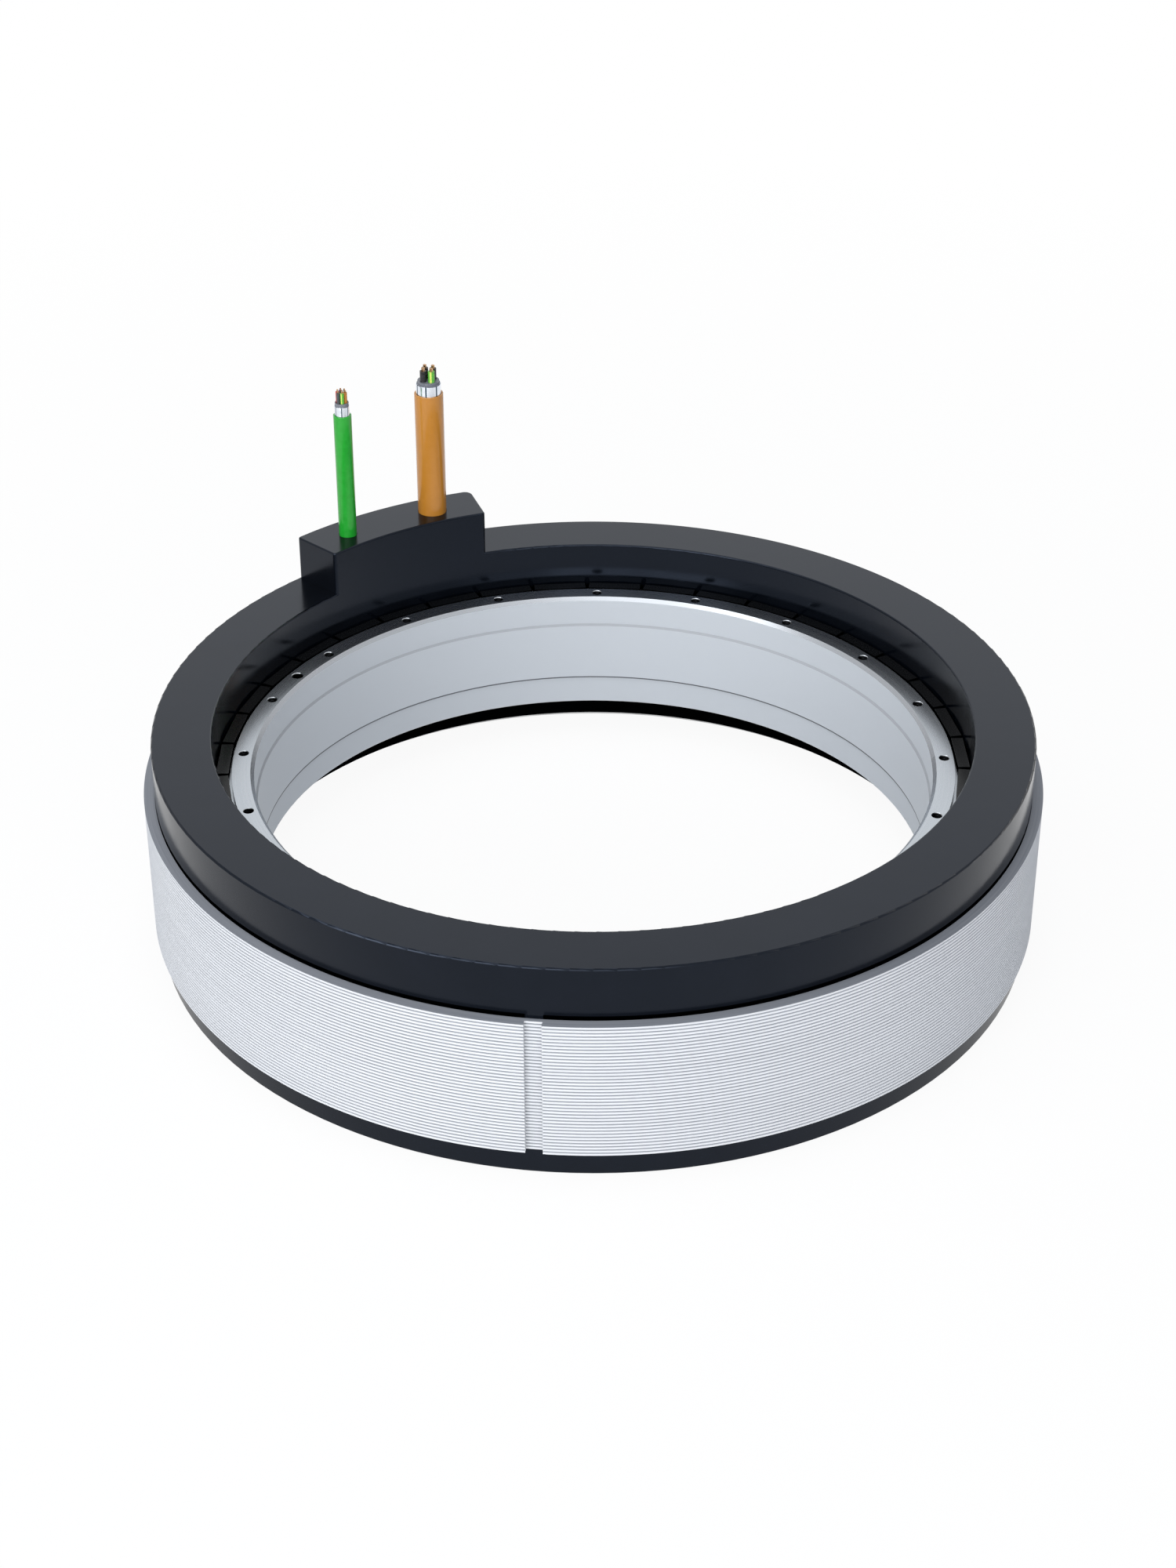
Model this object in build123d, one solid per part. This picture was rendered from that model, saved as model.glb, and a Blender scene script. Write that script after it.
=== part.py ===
"""Frameless ring motor: potted stator with toothed core and coils, and a hollow magnet rotor inside it.

Millimetres. The Z axis is the motor's axis and z = 0 is the stator's lower face.
"""
import math
import os

from build123d import *

# Stator core: a stack of electrical sheet with teeth on the inside.
core_radius = 251.0
core_radial_width = 39.4
core_height = 79.5
yoke_width = 14.9
slot_count = 36
tooth_share = 0.4817
tooth_tip_height = 2.5
slot_mouth_width = 4.0

# Keyway down the outside of the core, which sets the stator's angle in its housing.
keyway_angle = 263.2
keyway_width = 9.0
keyway_depth = 3.5

# Insulation between the core and the coils.
liner_thickness = 0.4
end_frame_thickness = 1.5
end_frame_rim_width = 2.8
slot_wedge_clearance = 0.1
slot_wedge_recess = 0.4

# Coils: one on each tooth, the winding heads stand above and below the core.
coil_spacing = 1.37
coil_head_height = 7.0
coil_clearance = 0.1
coil_outer_corner = 6.0
pole_count = 38
coil_lead_diameter = 1.6

# Connection rings on their carrier, above the upper winding heads.
carrier_plate_thickness = 1.5
carrier_rim_height = 2.0
carrier_rim_width = 1.0
carrier_margin = 3.0
carrier_hole_clearance = 0.2
ring_thickness = 1.2
ring_height = 3.0
tab_thickness = 1.0
tab_riser_height = 1.5
tab_riser_inset = 0.1
tab_margin = 0.4

# Resin rings that seal the winding heads.
top_ledge_width = 6.0
top_potting_height = 30.5
bottom_ledge_width = 3.5
bottom_potting_height = 15.0
bottom_potting_bore_step = 0.4
potting_wall = 2.4
potting_clearance = 0.3
potting_edge_radius = 1.0
lead_in_width = 7.0
lead_in_height = 5.0
foot_groove_height = 2.5
foot_groove_depth = 2.0

# Raised outlet of the upper resin ring, which the two cables leave through.
outlet_height = 27.0
outlet_start_angle = 108.3
outlet_end_angle = 136.8
outlet_corner_radius = 2.0
outlet_far_corner_radius = 5.0
outlet_edge_radius = 1.0

# Cables: upright stubs with stripped ends.
cable_wall_distance = 16.0
cable_seat_depth = 20.0
cable_wall_clearance = 0.1
cable_seat_clearance = 0.2
conductor_overrun = 1.0

power_cable_angle = 115.8
power_jacket_diameter = 17.5
power_jacket_wall = 1.1
power_jacket_length = 78.2
power_shield_wall = 0.4
power_shield_length = 6.0
power_sheath_length = 0.6
power_sheath_step_width = 0.5
power_sheath_step_length = 1.5
power_core_circle_radius = 3.5
power_core_turn = 10.0
power_core_diameter = 4.0
power_core_length = 6.7
power_conductor_diameter = 2.2
power_conductor_length = 2.0

signal_cable_angle = 130.7
signal_jacket_diameter = 10.8
signal_jacket_wall = 0.8
signal_jacket_length = 78.4
signal_shield_wall = 0.3
signal_shield_length = 5.7
signal_sheath_length = 2.1
signal_core_diameter = 2.25
signal_core_gap = 0.12
signal_core_length = 6.4
signal_conductor_diameter = 1.0
signal_conductor_length = 1.5

# Earth strip from the earth core of the power cable down to the core.
earth_strip_width = 3.4
earth_strip_thickness = 1.0
earth_strip_offset = 10.0
earth_strip_gap = 0.6

# Temperature sensors between two coils, wired to a small board under the signal cable.
sensor_diameter = 3.0
sensor_length = 12.0
sensor_lead_diameter = 0.8
sensor_lead_spacing = 1.3
board_thickness = 1.6
board_width = 10.0
board_angle = 13.4
board_gap = 0.5

# Rotor: a steel ring with flats for the magnets, and bored for the customer's shaft.
air_gap = 0.9
rotor_top_rise = 4.7
rotor_bottom_rise = 10.5
flange_setback = 9.4
flange_rim_height = 4.0
rotor_wall = 13.2
register_step = 1.0
register_depth = 18.0
register_chamfer = 2.0
register_bottom_chamfer = 1.0
magnet_thickness = 6.5
magnet_share = 0.9329
magnet_glue_gap = 0.1
magnet_bottom_inset = 1.0
magnet_start_angle = 5.85

# Threaded holes in the rotor's upper face, and one index hole half-way between two of them.
bolt_rim_distance = 5.2
bolt_count = 20
bolt_start_angle = 89.4
bolt_hole_radius = 2.5
bolt_hole_depth = 14.0
index_hole_radius = 3.0
index_hole_depth = 8.0
index_hole_pitch_steps = 3.5
hole_chamfer = 0.6

# Levels along the axis that follow from the sizes above.
core_bottom = bottom_potting_height
core_top = core_bottom + core_height
stator_top = core_top + top_potting_height
outlet_top = stator_top + outlet_height
head_top = core_top + end_frame_thickness + coil_head_height
carrier_top = head_top + carrier_plate_thickness
ring_top = carrier_top + ring_height
tab_top = ring_top + tab_riser_height + tab_thickness
earth_strip_top = tab_top + earth_strip_gap + earth_strip_thickness
rotor_top = core_top + rotor_top_rise
rotor_bottom = core_bottom + rotor_bottom_rise
rotor_height = rotor_top - rotor_bottom

# Radii and angles that follow from the sizes above.
stator_bore_radius = core_radius - core_radial_width
slot_inner_radius = stator_bore_radius + tooth_tip_height
slot_outer_radius = core_radius - yoke_width
slot_pitch = 360.0 / slot_count
slot_pitch_length = math.radians(slot_pitch) * slot_inner_radius
tooth_width = tooth_share * slot_pitch_length
coil_side_width = (slot_pitch_length - tooth_width - coil_spacing) / 2 - liner_thickness - coil_clearance
top_potting_radius = core_radius - top_ledge_width
bottom_potting_radius = core_radius - bottom_ledge_width
cable_circle_radius = stator_bore_radius + cable_wall_distance
flange_radius = stator_bore_radius - flange_setback
mid_bore_radius = flange_radius - rotor_wall
register_radius = mid_bore_radius + register_step
bolt_circle_radius = flange_radius - bolt_rim_distance
magnet_pitch = 360.0 / pole_count
bolt_pitch = 360.0 / bolt_count
phase_belt = 180.0 / 3
coil_opening = tooth_width + 2 * (liner_thickness + coil_clearance)
coil_width = coil_opening + 2 * coil_side_width
coil_start = slot_inner_radius + liner_thickness + coil_clearance
coil_end = math.sqrt((slot_outer_radius - liner_thickness) ** 2 - (coil_width / 2) ** 2) - coil_clearance
end_frame_radius = slot_outer_radius + end_frame_rim_width
earth_leg_radius = end_frame_radius + potting_clearance
channel_inner_radius = stator_bore_radius + potting_wall
channel_outer_radius = earth_leg_radius + earth_strip_thickness + potting_clearance
magnet_corner_radius = stator_bore_radius - air_gap
magnet_width = magnet_share * math.radians(magnet_pitch) * magnet_corner_radius
magnet_seat_radius = math.sqrt(magnet_corner_radius ** 2 - (magnet_width / 2) ** 2) - magnet_thickness
phase_ring_radii = {
    "u": cable_circle_radius - power_core_circle_radius,
    "v": cable_circle_radius,
    "w": cable_circle_radius + power_core_circle_radius,
}
star_ring_radius = phase_ring_radii["u"] - power_core_circle_radius

# Places of the four power cores from the cable's centre, outward and along the ring.
power_core_places = {}
for core_number, core_name in enumerate(("w", "v", "earth", "u")):
    core_direction = math.radians(power_core_turn + core_number * 90)
    power_core_places[core_name] = (power_core_circle_radius * math.cos(core_direction),
                                    power_core_circle_radius * math.sin(core_direction))

# Copper tab under each power core, a little wider than the core's conductor.
tab_width = power_conductor_diameter + 2 * tab_margin

# Signal cores round the middle one, in order from the first one's angle to the outward direction.
signal_core_circle_radius = signal_core_diameter + signal_core_gap
signal_core_start_angle = 154.3
signal_core_ring = ("earth", "brown", "white", "violet", "red", "grey")
signal_core_middle = "black"

# Overlap of cutting tools past the faces that they cut, and how near a corner counts as found.
cut_margin = 1.0
place_tolerance = 0.01


def ring(outer_radius, inner_radius, bottom, height):
    """Plain ring about the motor's axis."""
    return Pos(0, 0, bottom) * extrude(Circle(outer_radius) - Circle(inner_radius), height)


def rod(diameter, bottom, top):
    """Upright round rod on the local origin."""
    return Pos(0, 0, bottom) * extrude(Circle(diameter / 2), top - bottom)


def tube(outer_diameter, inner_diameter, bottom, top):
    """Upright round tube on the local origin."""
    return rod(outer_diameter, bottom, top) - rod(inner_diameter, bottom - cut_margin, top + cut_margin)


def at(angle, radius=0.0, along=0.0):
    """Place turned to an angle about the axis, then moved outward and along the ring."""
    return Rot(0, 0, angle) * Pos(radius, along, 0)


def bar_section(inner, outer, width):
    """Flat bar that points outward along X."""
    return Pos((inner + outer) / 2, 0) * Rectangle(outer - inner, width)


def box(width_out, width_along, height):
    """Block that stands on the local origin."""
    return Box(width_out, width_along, height, align=(Align.CENTER, Align.CENTER, Align.MIN))


def sector_section(outer, inner, start, end):
    """Flat piece of a ring between two angles."""
    reach = 2 * outer
    turns = [math.radians(angle) for angle in (start, end)]
    corners = [(reach * math.cos(turn), reach * math.sin(turn)) for turn in turns]
    return (Circle(outer) - Circle(inner)) & make_face(Polyline((0, 0), *corners, close=True))


def tooth_angles():
    return [slot_pitch * number for number in range(slot_count)]


def slot_angles():
    return [slot_pitch * (number + 0.5) for number in range(slot_count)]


def slot_sections(inset=0.0):
    """Sections of all slots, or of the room left inside a lining as thick as the inset."""
    zone = Circle(slot_outer_radius - inset) - Circle(slot_inner_radius + inset)
    width = tooth_width + 2 * inset
    tooth = bar_section(slot_inner_radius - cut_margin, slot_outer_radius + cut_margin, width)
    return zone - [at(angle) * tooth for angle in tooth_angles()]


def slot_mouths(depth_past_tip):
    """Sections of the narrow gaps between neighbouring tooth tips."""
    mouth = bar_section(stator_bore_radius - cut_margin, slot_inner_radius + depth_past_tip, slot_mouth_width)
    return [at(angle) * mouth for angle in slot_angles()]


def make_core():
    """Core: ring of sheet with slots, tooth tips and the outer keyway."""
    keyway = bar_section(core_radius - keyway_depth, core_radius + cut_margin, keyway_width)
    section = Circle(core_radius) - Circle(stator_bore_radius) - slot_sections()
    section -= slot_mouths(cut_margin)
    section -= at(keyway_angle) * keyway
    return Pos(0, 0, core_bottom) * extrude(section, core_height)


def make_slot_liners():
    """Folded paper in each slot, open at the mouth and as long as the core with its end frames."""
    section = slot_sections() - slot_sections(liner_thickness) - slot_mouths(cut_margin)
    length = core_height + 2 * end_frame_thickness
    return Pos(0, 0, core_bottom - end_frame_thickness) * extrude(section, length)


def make_slot_wedges():
    """Strips that close the slot mouths."""
    width = slot_mouth_width - 2 * slot_wedge_clearance
    section = bar_section(stator_bore_radius + slot_wedge_recess, slot_inner_radius, width)
    wedge = Pos(0, 0, core_bottom) * extrude(section, core_height)
    return Compound([at(angle) * wedge for angle in slot_angles()])


def make_end_frame(bottom):
    """Moulded comb over one end of the core, with a finger on each tooth."""
    finger = bar_section(coil_start, slot_outer_radius + cut_margin, tooth_width)
    section = Circle(end_frame_radius) - Circle(slot_outer_radius)
    section += [at(angle) * finger for angle in tooth_angles()]
    return Pos(0, 0, bottom) * extrude(section, end_frame_thickness)


def coil_phase(number):
    """Phase of a coil from its place in the field of the rotor's poles."""
    turn = (number * slot_pitch * pole_count / 2 + phase_belt / 2) % 180.0
    return "uvw"[int(turn // phase_belt)]


def make_winding(phase):
    """All coils of one phase, with leads to its own ring and to the star ring."""
    opening_height = core_height + 2 * end_frame_thickness
    outline = RectangleRounded(coil_width, opening_height + 2 * coil_head_height, coil_outer_corner)
    outline -= Rectangle(coil_opening, opening_height)
    middle = core_bottom + core_height / 2
    coil = extrude(Plane(origin=(coil_start, 0, middle), x_dir=(0, 1, 0), z_dir=(1, 0, 0)) * outline,
                   coil_end - coil_start)
    lead = rod(coil_lead_diameter, head_top, carrier_top)
    coils = []
    for number in range(slot_count):
        if coil_phase(number) != phase:
            continue
        solid = coil
        if coil_phase((number - 1) % slot_count) != phase:
            solid = solid + Pos(phase_ring_radii[phase], 0, 0) * lead
        if coil_phase((number + 1) % slot_count) != phase:
            solid = solid + Pos(star_ring_radius, 0, 0) * lead
        coils.append(at(number * slot_pitch) * solid)
    return Compound(coils)


def sensor_places():
    """Places of the sensor leads: a pair in each of the two slots beside the signal cable."""
    nearest = slot_pitch * (math.floor(signal_cable_angle / slot_pitch) + 0.5)
    middle = (phase_ring_radii["u"] + phase_ring_radii["v"]) / 2
    return [at(angle, middle) for angle in (nearest - slot_pitch, nearest)]


def make_carrier():
    """Moulded tray under the connection rings, with holes for the coil and sensor leads."""
    inner = star_ring_radius - carrier_margin
    outer = phase_ring_radii["w"] + carrier_margin
    plate = ring(outer, inner, head_top, carrier_plate_thickness)
    plate += ring(outer, outer - carrier_rim_width, carrier_top, carrier_rim_height)
    plate += ring(inner + carrier_rim_width, inner, carrier_top, carrier_rim_height)
    through = (head_top - cut_margin, carrier_top + cut_margin)
    lead_hole = rod(coil_lead_diameter + 2 * carrier_hole_clearance, *through)
    for number in range(slot_count):
        phase = coil_phase(number)
        if coil_phase((number - 1) % slot_count) != phase:
            plate -= at(number * slot_pitch, phase_ring_radii[phase]) * lead_hole
        if coil_phase((number + 1) % slot_count) != phase:
            plate -= at(number * slot_pitch, star_ring_radius) * lead_hole
    sensor_hole = rod(sensor_lead_diameter + 2 * carrier_hole_clearance, *through)
    for place in sensor_places():
        for side in (-0.5, 0.5):
            plate -= place * Pos(side * sensor_lead_spacing, 0, 0) * sensor_hole
    return plate


def make_phase_ring(phase):
    """Copper ring on edge with a raised tab under its own core of the power cable."""
    radius = phase_ring_radii[phase]
    out, along = power_core_places[phase]
    landing_radius = cable_circle_radius + out
    band = ring(radius + ring_thickness / 2, radius - ring_thickness / 2, carrier_top, ring_height)
    riser_thickness = ring_thickness - 2 * tab_riser_inset
    riser = Pos(radius, 0, 0) * box(riser_thickness, tab_width, tab_riser_height + tab_thickness)
    arm_start = min(radius - ring_thickness / 2, landing_radius - tab_width / 2)
    arm_end = landing_radius + tab_width / 2
    arm_middle = (arm_start + arm_end) / 2
    arm = Pos(arm_middle, 0, tab_riser_height) * box(arm_end - arm_start, tab_width, tab_thickness)
    return band + at(power_cable_angle) * Pos(0, along, ring_top) * (riser + arm)


def make_star_ring():
    """Copper ring on edge that joins the ends of the three phases."""
    half = ring_thickness / 2
    return ring(star_ring_radius + half, star_ring_radius - half, carrier_top, ring_height)


def make_earth_strip():
    """Flat strip from under the earth core, round the other cores and down to the core's end face."""
    level = earth_strip_top - earth_strip_thickness
    out, along = power_core_places["earth"]
    start = cable_circle_radius + out
    leg_outer = earth_leg_radius + earth_strip_thickness
    half = earth_strip_width / 2
    along_run = Pos(start, (along - earth_strip_offset) / 2, level) * box(
        earth_strip_width, along + earth_strip_offset + earth_strip_width, earth_strip_thickness)
    outward_run = Pos((start - half + leg_outer) / 2, -earth_strip_offset, level) * box(
        leg_outer - start + half, earth_strip_width, earth_strip_thickness)
    leg = Pos(earth_leg_radius + earth_strip_thickness / 2, -earth_strip_offset, core_top) * box(
        earth_strip_thickness, earth_strip_width, earth_strip_top - core_top)
    return at(power_cable_angle) * (along_run + outward_run + leg)


def make_sensors():
    """Two sensor beads between coils, each with a pair of leads up to the board."""
    bead = rod(sensor_diameter, core_top - sensor_length / 2, core_top + sensor_length / 2)
    lead = rod(sensor_lead_diameter, core_top + sensor_length / 2, ring_top + board_gap)
    solids = []
    for place in sensor_places():
        solid = bead
        for side in (-0.5, 0.5):
            solid = solid + Pos(side * sensor_lead_spacing, 0, 0) * lead
        solids.append(place * solid)
    return Compound(solids)


def make_board():
    """Curved board over the connection rings, where the signal cores meet the sensor leads."""
    section = sector_section(cable_circle_radius + board_width / 2, cable_circle_radius - board_width / 2,
                             signal_cable_angle - board_angle / 2, signal_cable_angle + board_angle / 2)
    return Pos(0, 0, ring_top + board_gap) * extrude(section, board_thickness)


def make_outlet():
    """Curved block on the resin ring, flush with its inner and outer walls, with rounded edges."""
    section = sector_section(top_potting_radius, stator_bore_radius, outlet_start_angle, outlet_end_angle)
    base = stator_top - potting_edge_radius
    block = Pos(0, 0, base) * extrude(section, outlet_top - base)
    corners = block.edges().filter_by(Axis.Z)
    far = max(corners, key=lambda edge: edge.center().X + edge.center().Y)
    block = fillet(far, outlet_far_corner_radius)
    corners = [edge for edge in block.edges().filter_by(Axis.Z) if is_sharp_outlet_corner(edge)]
    block = fillet(corners, outlet_corner_radius)
    return fillet(block.edges().group_by(Axis.Z)[-1], outlet_edge_radius)


def is_sharp_outlet_corner(edge):
    """True for the upright edges on the walls' own radii and end angles."""
    middle = edge.center()
    radius = math.hypot(middle.X, middle.Y)
    angle = math.degrees(math.atan2(middle.Y, middle.X))
    on_wall = min(abs(radius - top_potting_radius), abs(radius - stator_bore_radius)) < place_tolerance
    on_end = min(abs(angle - outlet_start_angle), abs(angle - outlet_end_angle)) < place_tolerance
    return on_wall and on_end


def cable_bore(angle, jacket_diameter, jacket_wall):
    """Stepped bore under a cable: a seat for its jacket, then a narrower way for its cores."""
    seat_bottom = outlet_top - cable_seat_depth
    seat = rod(jacket_diameter + 2 * cable_seat_clearance, seat_bottom, outlet_top + cut_margin)
    way = rod(jacket_diameter - 2 * jacket_wall, core_top + cut_margin, outlet_top)
    return at(angle, cable_circle_radius) * (seat + way)


def make_top_potting():
    """Upper resin ring with its cable outlet, cast as one piece over the winding heads."""
    body = ring(top_potting_radius, stator_bore_radius, core_top, top_potting_height)
    body = fillet(body.edges().filter_by(GeomType.CIRCLE).group_by(Axis.Z)[-1], potting_edge_radius)
    body += make_outlet()
    below = core_top - cut_margin
    channel_height = earth_strip_top + potting_clearance - below
    body -= ring(channel_outer_radius, channel_inner_radius, below, channel_height)
    groove_floor = top_potting_radius - foot_groove_depth
    groove = ring(top_potting_radius + cut_margin, groove_floor, below, foot_groove_height + cut_margin)
    bridge = at(keyway_angle, top_potting_radius) * box(
        2 * (foot_groove_depth + cut_margin), keyway_width, core_top + foot_groove_height + cut_margin)
    body -= groove - bridge
    body -= cable_bore(power_cable_angle, power_jacket_diameter, power_jacket_wall)
    body -= cable_bore(signal_cable_angle, signal_jacket_diameter, signal_jacket_wall)
    return body


def make_bottom_potting():
    """Lower resin ring, with a sloping lead-in for the rotor at its inner edge."""
    bore = stator_bore_radius + bottom_potting_bore_step
    channel_bottom = core_bottom - end_frame_thickness - coil_head_height - potting_clearance
    channel_outer = end_frame_radius + potting_clearance
    profile = make_face(Polyline(
        (bore + lead_in_width, 0), (bottom_potting_radius - potting_edge_radius, 0),
        (bottom_potting_radius, potting_edge_radius), (bottom_potting_radius, core_bottom),
        (channel_outer, core_bottom), (channel_outer, channel_bottom),
        (channel_inner_radius, channel_bottom), (channel_inner_radius, core_bottom),
        (bore, core_bottom), (bore, lead_in_height), close=True))
    return revolve(Plane.XZ * profile, Axis.Z)


def make_rotor_ring():
    """Steel ring with a flat for each magnet, a round rim at the top and a stepped bore."""
    outline = Rot(0, 0, magnet_start_angle) * RegularPolygon(magnet_seat_radius - magnet_glue_gap, pole_count,
                                                             major_radius=False)
    body = Pos(0, 0, rotor_bottom) * extrude(outline, rotor_height)
    body -= ring(core_radius, flange_radius, rotor_top - flange_rim_height, flange_rim_height + cut_margin)
    bore = make_face(Polyline((0, rotor_bottom), (register_radius + register_bottom_chamfer, rotor_bottom),
                              (register_radius, rotor_bottom + register_bottom_chamfer),
                              (register_radius, rotor_bottom + register_depth),
                              (mid_bore_radius, rotor_bottom + register_depth),
                              (mid_bore_radius, rotor_top - register_depth - register_step),
                              (register_radius, rotor_top - register_depth),
                              (register_radius, rotor_top - register_chamfer),
                              (register_radius + register_chamfer, rotor_top), (0, rotor_top), close=True))
    body -= revolve(Plane.XZ * bore, Axis.Z)
    for number in range(bolt_count):
        angle = bolt_start_angle + number * bolt_pitch
        body -= at(angle, bolt_circle_radius) * hole_tool(bolt_hole_radius, bolt_hole_depth)
    index_angle = bolt_start_angle + index_hole_pitch_steps * bolt_pitch
    body -= at(index_angle, bolt_circle_radius) * hole_tool(index_hole_radius, index_hole_depth)
    return body


def hole_tool(radius, depth):
    """Blind hole from the rotor's upper face, with a countersunk mouth."""
    mouth = Pos(0, 0, rotor_top - hole_chamfer / 2) * Cone(radius, radius + hole_chamfer, hole_chamfer)
    return rod(2 * radius, rotor_top - depth, rotor_top) + mouth


def make_magnets(first):
    """Every second magnet of the rotor, so all those of one polarity."""
    magnet = Pos(magnet_seat_radius + magnet_thickness / 2, 0, rotor_bottom + magnet_bottom_inset) * box(
        magnet_thickness, magnet_width, rotor_height - magnet_bottom_inset)
    return Compound([at(magnet_start_angle + (number + 0.5) * magnet_pitch) * magnet
                     for number in range(first, pole_count, 2)])


def cable_levels(jacket_length, shield_length, sheath_length, core_length, conductor_length):
    """Heights at which the layers of a stripped cable end, from the jacket to the conductors."""
    levels = [outlet_top + jacket_length]
    for length in (shield_length, sheath_length, core_length, conductor_length):
        levels.append(levels[-1] + length)
    return levels


def make_power_cable():
    """Power cable: jacket, screen, inner sheath with a step, four cores and their conductors."""
    place = at(power_cable_angle, cable_circle_radius)
    bottom = outlet_top - cable_seat_depth
    sheath_length = power_sheath_length + power_sheath_step_length
    jacket_top, shield_top, sheath_top, core_end, tip = cable_levels(
        power_jacket_length, power_shield_length, sheath_length, power_core_length, power_conductor_length)
    shield_diameter = power_jacket_diameter - 2 * power_jacket_wall - 2 * cable_wall_clearance
    sheath_diameter = shield_diameter - 2 * power_shield_wall - 2 * cable_wall_clearance
    sheath = rod(sheath_diameter, bottom, sheath_top - power_sheath_step_length)
    sheath += rod(sheath_diameter - 2 * power_sheath_step_width, bottom, sheath_top)
    pieces = {}
    inner = power_jacket_diameter - 2 * power_jacket_wall
    pieces["power_cable_jacket"] = tube(power_jacket_diameter, inner, bottom, jacket_top)
    inner = shield_diameter - 2 * power_shield_wall
    pieces["power_cable_shield"] = tube(shield_diameter, inner, bottom, shield_top)
    conductors = []
    for name, (out, along) in power_core_places.items():
        spot = Pos(out, along, 0)
        landing = earth_strip_top if name == "earth" else tab_top
        hole_diameter = power_core_diameter + 2 * cable_wall_clearance
        sheath -= spot * rod(hole_diameter, bottom - cut_margin, sheath_top + cut_margin)
        inner = power_conductor_diameter + 2 * cable_wall_clearance
        core = tube(power_core_diameter, inner, landing + conductor_overrun, core_end)
        pieces["power_core_" + name] = spot * core
        conductors.append(spot * rod(power_conductor_diameter, landing, tip))
    pieces["power_cable_inner_sheath"] = sheath
    pieces["power_conductors"] = Compound(conductors)
    return {name: place * shape for name, shape in pieces.items()}


def make_signal_cable():
    """Signal cable: jacket, screen, inner sheath, one core in the middle and six round it."""
    place = at(signal_cable_angle, cable_circle_radius)
    bottom = outlet_top - cable_seat_depth
    jacket_top, shield_top, sheath_top, core_end, tip = cable_levels(
        signal_jacket_length, signal_shield_length, signal_sheath_length, signal_core_length,
        signal_conductor_length)
    shield_diameter = signal_jacket_diameter - 2 * signal_jacket_wall - 2 * cable_wall_clearance
    sheath_diameter = shield_diameter - 2 * signal_shield_wall - 2 * cable_wall_clearance
    bundle_diameter = 2 * signal_core_circle_radius + signal_core_diameter + 2 * cable_wall_clearance
    pieces = {}
    inner = signal_jacket_diameter - 2 * signal_jacket_wall
    pieces["signal_cable_jacket"] = tube(signal_jacket_diameter, inner, bottom, jacket_top)
    inner = shield_diameter - 2 * signal_shield_wall
    pieces["signal_cable_shield"] = tube(shield_diameter, inner, bottom, shield_top)
    pieces["signal_cable_inner_sheath"] = tube(sheath_diameter, bundle_diameter, bottom, sheath_top)
    spots = {signal_core_middle: Pos(0, 0, 0)}
    for number, name in enumerate(signal_core_ring):
        angle = signal_core_start_angle + number * 360.0 / len(signal_core_ring)
        spots[name] = at(angle, signal_core_circle_radius)
    landing = ring_top + board_gap + board_thickness
    conductors = []
    for name, spot in spots.items():
        inner = signal_conductor_diameter + 2 * cable_wall_clearance
        core = tube(signal_core_diameter, inner, landing + conductor_overrun, core_end)
        pieces["signal_core_" + name] = spot * core
        conductors.append(spot * rod(signal_conductor_diameter, landing, tip))
    pieces["signal_conductors"] = Compound(conductors)
    return {name: place * shape for name, shape in pieces.items()}


def build_parts():
    """All sub-parts of the motor by name."""
    parts = {
        "stator_core": make_core(),
        "slot_liners": make_slot_liners(),
        "slot_wedges": make_slot_wedges(),
        "end_frame_top": make_end_frame(core_top),
        "end_frame_bottom": make_end_frame(core_bottom - end_frame_thickness),
        "connection_carrier": make_carrier(),
        "star_ring": make_star_ring(),
        "earth_strip": make_earth_strip(),
        "temperature_sensors": make_sensors(),
        "sensor_board": make_board(),
        "top_potting": make_top_potting(),
        "bottom_potting": make_bottom_potting(),
        "rotor_ring": make_rotor_ring(),
        "magnets_north": make_magnets(0),
        "magnets_south": make_magnets(1),
    }
    for phase in phase_ring_radii:
        parts["winding_phase_" + phase] = make_winding(phase)
        parts["phase_ring_" + phase] = make_phase_ring(phase)
    parts.update(make_power_cable())
    parts.update(make_signal_cable())
    return parts


os.makedirs("parts", exist_ok=True)
for part_name, part_shape in build_parts().items():
    export_step(part_shape, "parts/" + part_name + ".step")
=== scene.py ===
import math

import bmesh
import bpy
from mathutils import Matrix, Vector


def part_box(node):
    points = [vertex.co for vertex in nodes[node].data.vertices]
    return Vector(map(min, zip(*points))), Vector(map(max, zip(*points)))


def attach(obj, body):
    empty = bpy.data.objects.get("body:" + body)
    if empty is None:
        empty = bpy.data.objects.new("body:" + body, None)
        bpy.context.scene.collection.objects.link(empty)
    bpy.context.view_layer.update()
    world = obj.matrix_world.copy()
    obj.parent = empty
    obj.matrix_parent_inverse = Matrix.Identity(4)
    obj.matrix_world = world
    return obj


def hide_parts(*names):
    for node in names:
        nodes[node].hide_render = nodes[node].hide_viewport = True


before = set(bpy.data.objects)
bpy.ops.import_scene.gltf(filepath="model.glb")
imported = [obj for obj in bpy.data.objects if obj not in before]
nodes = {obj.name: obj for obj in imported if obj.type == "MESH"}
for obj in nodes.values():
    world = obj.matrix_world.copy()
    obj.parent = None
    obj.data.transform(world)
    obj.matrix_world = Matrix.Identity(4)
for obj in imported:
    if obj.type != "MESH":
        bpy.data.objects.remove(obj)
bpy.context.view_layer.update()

scene = bpy.context.scene


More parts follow.
